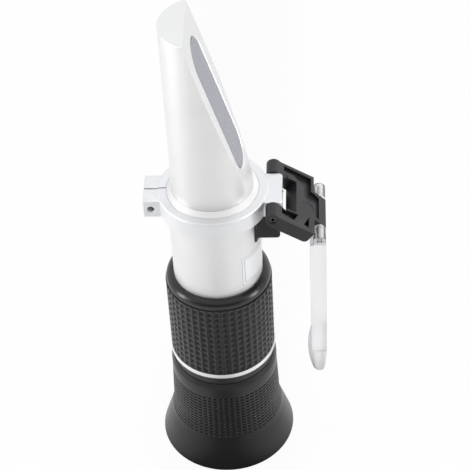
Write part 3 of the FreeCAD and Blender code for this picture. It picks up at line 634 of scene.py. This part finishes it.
def round_tip(plate):
    """The plate's sharp edges are eased, and the outline of its lower tip is rounded far more.

    An edge is sharp where the length of the sum of its two faces' normals says so: its square is
    2 + 2 cos of the angle between them.
    """
    mesh = plate.data
    edge = listed(mesh.loops, "edge_index", np.int32)
    sides = listed(mesh.polygons, "loop_total", np.int32)
    normal = np.repeat(listed(mesh.polygons, "normal"), sides, axis=0)
    total = np.zeros((len(mesh.edges), 3))
    np.add.at(total, edge, normal)
    sharp = (total * total).sum(axis=1) / 2 - 1 < math.cos(math.radians(sharp_angle))
    flattest = np.zeros(len(mesh.edges))
    np.maximum.at(flattest, edge, np.abs(normal[:, 0]))
    ends = listed(mesh.edges, "vertices", np.int32)
    height = listed(mesh.vertices, "co")[ends].mean(axis=1)[:, 2] / MM
    tip = (flattest > facing) * soft_step(plate_crease + 1.0 - height, 0, 5)
    least = plate_edge / tip_radius
    weight = mesh.attributes.new("bevel_weight_edge", "FLOAT", "EDGE")
    weight.data.foreach_set("value", (sharp * (least + (1 - least) * tip)).astype(np.float32))
    bevel = plate.modifiers["edge"]
    bevel.limit_method = "WEIGHT"
    bevel.width = tip_radius * MM
    bevel.segments = 4


def polish_bead(grip):
    """The smooth bead above the knurl gets the polished rubber."""
    height = listed(grip.data.polygons, "center")[:, 2]
    second_finish(grip, smooth_rubber(), height > (knurl_top + 0.3) * MM)


grip = knurled_grip()
stand_in(grip, "rubber_grip")
polish_bead(grip)
stand_in(dimpled_eyecup(), "rubber_eyecup")

eased_edges = {
    "prism_housing": 0.12, "clamp_ring": 0.12, "cover_bracket": 0.1, "daylight_plate": plate_edge,
    "body_tube": 0.1, "trim_ring": 0.08, "calibration_cap": 0.2, "focus_sleeve": 0.12,
    "measuring_prism": 0.0, "hinge_pin": 0.08, "detent_ball": 0.0, "clamp_screw": 0.05,
}
for node, width in eased_edges.items():
    stand_in(eased_copy(node, width), node, own_finishes.get(node))
plate = bpy.data.objects["daylight_plate_eased"]
frost_edges(plate)
round_tip(plate)

sheet = label_sheet()
wear(sheet, label_film())
border = label_border()
wear(border, label_ink())
for piece in (sheet, border):
    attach(piece, "instrument")


# Stage, lights and camera


def add_light(name, place, aim, size, watts, tint=(1, 1, 1)):
    """Soft rectangular lamp at a place, turned to its aim, both in millimetres."""
    lamp = bpy.data.lights.new(name, "AREA")
    lamp.shape = "RECTANGLE"
    lamp.size, lamp.size_y = (side * MM for side in size)
    lamp.energy = watts
    lamp.color = tint
    light = bpy.data.objects.new(name, lamp)
    light.location = Vector(place) * MM
    way = (Vector(aim) - Vector(place)).normalized()
    light.rotation_euler = way.to_track_quat("-Z", "Y").to_euler()
    bpy.context.scene.collection.objects.link(light)


def seen_share(finish, mirrored):
    """1 for rays of the camera and through glass, and the mirrored share for reflections."""
    path = finish.add("ShaderNodeLightPath")
    camera, glossy, through = (
        Number(finish, path.outputs[name])
        for name in ("Is Camera Ray", "Is Glossy Ray", "Is Transmission Ray")
    )
    return (camera | through) | glossy * mirrored


def floor_finish():
    """White sweep: mostly its own white where it is seen, and the lamps' shadow for the rest.

    The floor that the rubber mirrors has painted shade before the object, in its colour and its glow,
    and a painted glow at its sides.
    """
    finish = Finish("white floor", Roughness=0.9)
    glow = finish.add("ShaderNodeEmission", None, {"Color": (1, 1, 1, 1), "Strength": 1.0})
    place = finish.add("ShaderNodeSeparateXYZ", None, {0: finish.place()})
    aside = abs(Number(finish, place.outputs[0]))
    along = place.outputs[1]
    # painted shade: a soft patch on the floor before the object, so that the rubber mirrors a darker
    # floor there
    before = finish.soft_range(aside, 30 * MM, 8 * MM) * finish.soft_range(along, -88 * MM, -62 * MM)
    # painted glow: soft bands beside the object where the floor glows brighter in reflections
    painted_glow_beside = finish.soft_range(aside, 10 * MM, 22 * MM) * finish.soft_range(aside, 85 * MM, 55 * MM)
    wave = finish.noise(60.0, 2.0)
    # the painted shade patch darkens the floor's colour, with a faint random tone
    finish.colour(before * 0.85 + wave * 0.03, (0.95, 0.95, 0.95), (0.04, 0.04, 0.04))
    # reflections see a painted glow beside the object and painted shade before it
    share = seen_share(finish, 0.4 + painted_glow_beside * 0.6 - before * 0.36) * 0.96
    sockets = {0: share, 1: finish.shader.outputs[0], 2: glow.outputs[0]}
    mixed = finish.add("ShaderNodeMixShader", None, sockets)
    finish.tree.links.new(mixed.outputs[0], finish.tree.nodes["Material Output"].inputs["Surface"])
    return finish.material


def white_world():
    """White studio, with a dimmer room behind the camera's place."""
    world = bpy.data.worlds.new("studio")
    bpy.context.scene.world = world
    world.use_nodes = True
    studio = Finish.of_tree(world.node_tree)
    way = studio.add("ShaderNodeSeparateXYZ", None, {0: studio.place()})
    forward, upward = way.outputs[1], way.outputs[2]
    front = studio.soft_range(forward, -0.3, -0.85) * studio.soft_range(upward, 0.95, 0.3)
    level = 0.64 - front * 0.46
    share = seen_share(studio, 1 - front)
    background = world.node_tree.nodes["Background"]
    background.inputs["Color"].default_value = (1, 1, 1, 1)
    studio.feed(background.inputs["Strength"], level + share * (1 - level))


def stage_floor():
    """Square floor, far wider than the picture."""
    half = 3000 * MM
    corners = [(-half, -half, 0), (half, -half, 0), (half, half, 0), (-half, half, 0)]
    mesh = bpy.data.meshes.new("floor")
    mesh.from_pydata(corners, [], [(0, 1, 2, 3)])
    floor = bpy.data.objects.new("floor", mesh)
    bpy.context.scene.collection.objects.link(floor)
    wear(floor, floor_finish())


def add_camera():
    """Camera at the photograph's angle: looking down, slightly from the right, rolled a little."""
    turn = math.radians(3.93)
    rise = math.radians(43.66)
    roll = math.radians(3.451)
    distance = 472.91
    right = Vector((math.cos(turn), math.sin(turn), 0))
    aim = right * 5.311 + Vector((0, 0, 79.077))
    back = Vector((math.sin(turn) * math.cos(rise), -math.cos(turn) * math.cos(rise), math.sin(rise)))
    up = back.cross(right)
    rolled_right = right * math.cos(roll) - up * math.sin(roll)
    rolled_up = right * math.sin(roll) + up * math.cos(roll)
    lens = bpy.data.cameras.new("camera")
    lens.sensor_width = 36.0
    lens.lens = 129.6
    lens.clip_start = 0.01
    camera = bpy.data.objects.new("camera", lens)
    turned = Matrix((rolled_right, rolled_up, back)).transposed().to_4x4()
    camera.matrix_world = Matrix.Translation((aim + back * distance) * MM) @ turned
    bpy.context.scene.collection.objects.link(camera)
    bpy.context.scene.camera = camera


stage_floor()
white_world()
add_light("left box", (-430, -110, 160), (0, 0, 60), (120, 300), 0.95)
add_light("right box", (430, -120, 160), (0, 0, 60), (120, 300), 0.85)
add_light("back box", (300, 400, 200), (0, 0, 80), (300, 220), 0.15, (0.92, 0.94, 1.0))
add_light("top box", (0, 100, 600), (0, 0, 60), (380, 300), 0.45, (0.86, 0.90, 1.0))
add_camera()

bpy.context.scene.view_settings.view_transform = "Standard"
